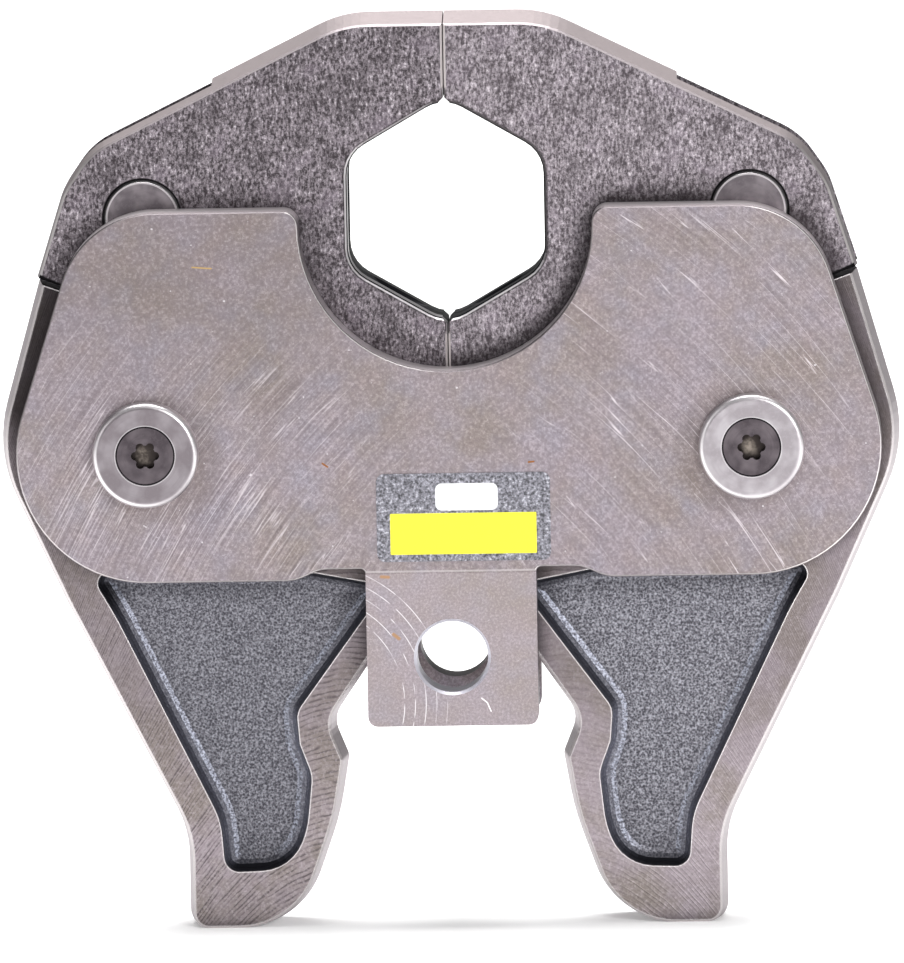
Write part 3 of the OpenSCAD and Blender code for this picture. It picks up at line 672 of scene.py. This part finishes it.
def turned_steel(name, middle, dark, light, edge, roughness, bands, socket=False):
    """Turned steel; a band is a ring of another colour: inner and outer radius, colour and share."""
    material, tree, shader = started(name, Metallic=1)
    at = Surface(tree)
    rings = at.arcs(middle, 0.4, 40, 5.5, 1)
    grain = noise(tree, at.spots, 0.6, 3, 0.75)
    cloud = noise(tree, at.spots, 4, 2, 0.5)
    base = mixed(tree, fade(tree, cloud, 0.4, 0.65), colour(dark), colour(light))
    base = mixed(tree, fade(tree, rings, 0.5, 0.7, 0, 0.3), base, colour(dark))
    base = mixed(tree, fade(tree, grain, 0.5, 0.8, 0, 0.5), base, colour(light))
    # Painted light on the edges, strongest facing up-right or down-left: highlights, and shade on the screws.
    lean = calc(tree, "ABSOLUTE", calc(tree, "ADD", at.right, at.up))
    share = both(tree, fade(tree, at.face, 0.995, 0.93), fade(tree, lean, 0.1, 0.5, 0.4, 1))
    base = mixed(tree, share, base, colour(edge))
    for inner_mm, outer_mm, code, most in bands:
        base = mixed(tree, both(tree, at.ring(middle, inner_mm, outer_mm), most), base, colour(code))
    if socket:
        base = socket_floor(tree, at, middle, base)
    worn = fade(tree, grain, 0.3, 0.7, roughness - 0.05, roughness + 0.06)
    dressed(tree, shader, base, worn, rings, strength=0.1, depth_mm=0.03)
    return material


# %% [markdown]
# ## Label film
#
# The label is a thin satin film with a metallic fleck. It carries a plain yellow bar and a small white
# panel, with no words on them. Each is given by its left, right, lower and upper edge as shares of the film,
# and by the radius of its corners in millimetres.

# %% Label film
BAR = (0.076, 0.92, 0.078, 0.55, 0.3)
PANEL = (0.338, 0.70, 0.575, 0.887, 1.3)


def label_film():
    material, tree, shader = started("printed_label_film", Roughness=0.4)
    at = Surface(tree)
    film = label_high - label_low

    def patch(left, right, bottom, top, corner_mm):
        """A rectangle with rounded corners, given by shares of the film."""
        middle = (label_low.x + film.x * (left + right) / 2, 0, label_low.z + film.z * (bottom + top) / 2)
        corner = corner_mm * MM
        straight = (film.x * (right - left) / 2 - corner, 0, film.z * (top - bottom) / 2 - corner)
        beside = vector(tree, "ABSOLUTE", vector(tree, "SUBTRACT", at.flat, middle))
        beside = vector(tree, "MAXIMUM", vector(tree, "SUBTRACT", beside, straight), (0, 0, 0))
        return fade(tree, vector(tree, "LENGTH", beside, output="Value"), corner, corner - 0.1 * MM)

    fleck = noise(tree, at.spots, 0.6, 3, 0.75)
    base = mixed(tree, fade(tree, fleck, 0.38, 0.62), colour("#313036"), colour("#8E8D97"))
    base = mixed(tree, fade(tree, fleck, 0.6, 0.7, 0, 0.8), base, colour("#D4D4DC"))
    base = mixed(tree, patch(*BAR), base, colour("#DFD928"))
    base = mixed(tree, patch(*PANEL), base, colour("#DEDEE0"))
    tree.links.new(base, shader.inputs["Base Color"])
    return material


# %% [markdown]
# ## Give every node its finish
#
# The left half lies more in the shade and is more worn than the right one, so levers, segments, collars and
# pins have a finish for each side. The rear plate and the rear collars and screws share the front ones'.

# %% Plates, levers, segments and label
finishes = {
    "front_plate": plate_steel(),
    "left_lever": lever_steel("ground_forged_steel_left", LEFT, strokes=0.75, rim_shadow=0.8, pocket_shade=0.28),
    "right_lever": lever_steel("ground_forged_steel_right", RIGHT, strokes=0.22, rim_shadow=0.4, pocket_shade=0.1),
    "left_press_segment": segment_steel("oiled_forged_steel_left", LEFT, "#3B3639", "#8F878D", plate_shade=0.35),
    "right_press_segment": segment_steel("oiled_forged_steel_right", RIGHT, "#4B4549", "#9F979D", plate_shade=0.8),
    "label": label_film(),
}
finishes["rear_plate"] = finishes["front_plate"]
print("finishes so far:", len(finishes))

# %% Collars, screws and pins
for side, sign in (("left", LEFT), ("right", RIGHT)):
    middle = (sign * pivot.x, 0, pivot.z)
    dark, light = ("#756E72", "#8A8488") if side == "left" else ("#908A8E", "#A9A4A8")
    # On the collar a ring of painted highlight round the screw head; on the screw a dark ring of painted
    # shade in the gap.
    collar = turned_steel("satin_turned_steel_" + side, middle, dark, light, "#D2CED0", 0.38, [
        (HEAD_R_MM, HEAD_R_MM + 0.2, "#E8E5E7", 0.35),
    ])
    screw = turned_steel("burnished_steel_" + side, middle, "#474145", "#625B5F", "#2C2A2C", 0.4, [
        (HEAD_R_MM - 0.3, HEAD_R_MM + 0.1, "#171618", 0.9),
    ], socket=True)
    for end in ("front", "rear"):
        finishes[f"{end}_{side}_collar"] = collar
        finishes[f"{end}_{side}_screw"] = screw
    pin_middle = (sign * segment_pin.x, 0, segment_pin.z)
    # On the pin a ring of painted highlight on the chamfer and a ring of painted shade in the gap to the
    # bore.
    pin = turned_steel("ground_pin_steel_" + side, pin_middle, "#5F595D", "#7F787C", "#E4E0E2", 0.42, [
        (*PIN_RIM_HIGHLIGHT_MM, "#C8C3C5", 0.6),
        (*PIN_GAP_SHADE_MM, "#2A282A", 0.7),
    ])
    finishes[side + "_segment_pin"] = pin
    finishes[side + "_pivot_pin"] = collar
finishes["spring_pin"] = finishes["left_pivot_pin"]
finishes["closing_spring"] = finishes["front_left_screw"]
for name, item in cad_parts.items():
    item.data.materials.clear()
    item.data.materials.append(finishes[name])
print("finished nodes:", len(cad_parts))

# %% [markdown]
# ## White paper for the floor
#
# The floor is matt white paper. It glows a little, as an overexposed studio sweep does, so only a faint
# shadow stays under the feet.

# %% Floor material
paper = started(
    "white_paper_sweep",
    Base_Color=(0.95, 0.95, 0.95, 1), Roughness=0.9, Emission_Color=(1, 1, 1, 1), Emission_Strength=0.2,
)[0]
floor.data.materials.append(paper)
print("floor material:", paper.name)
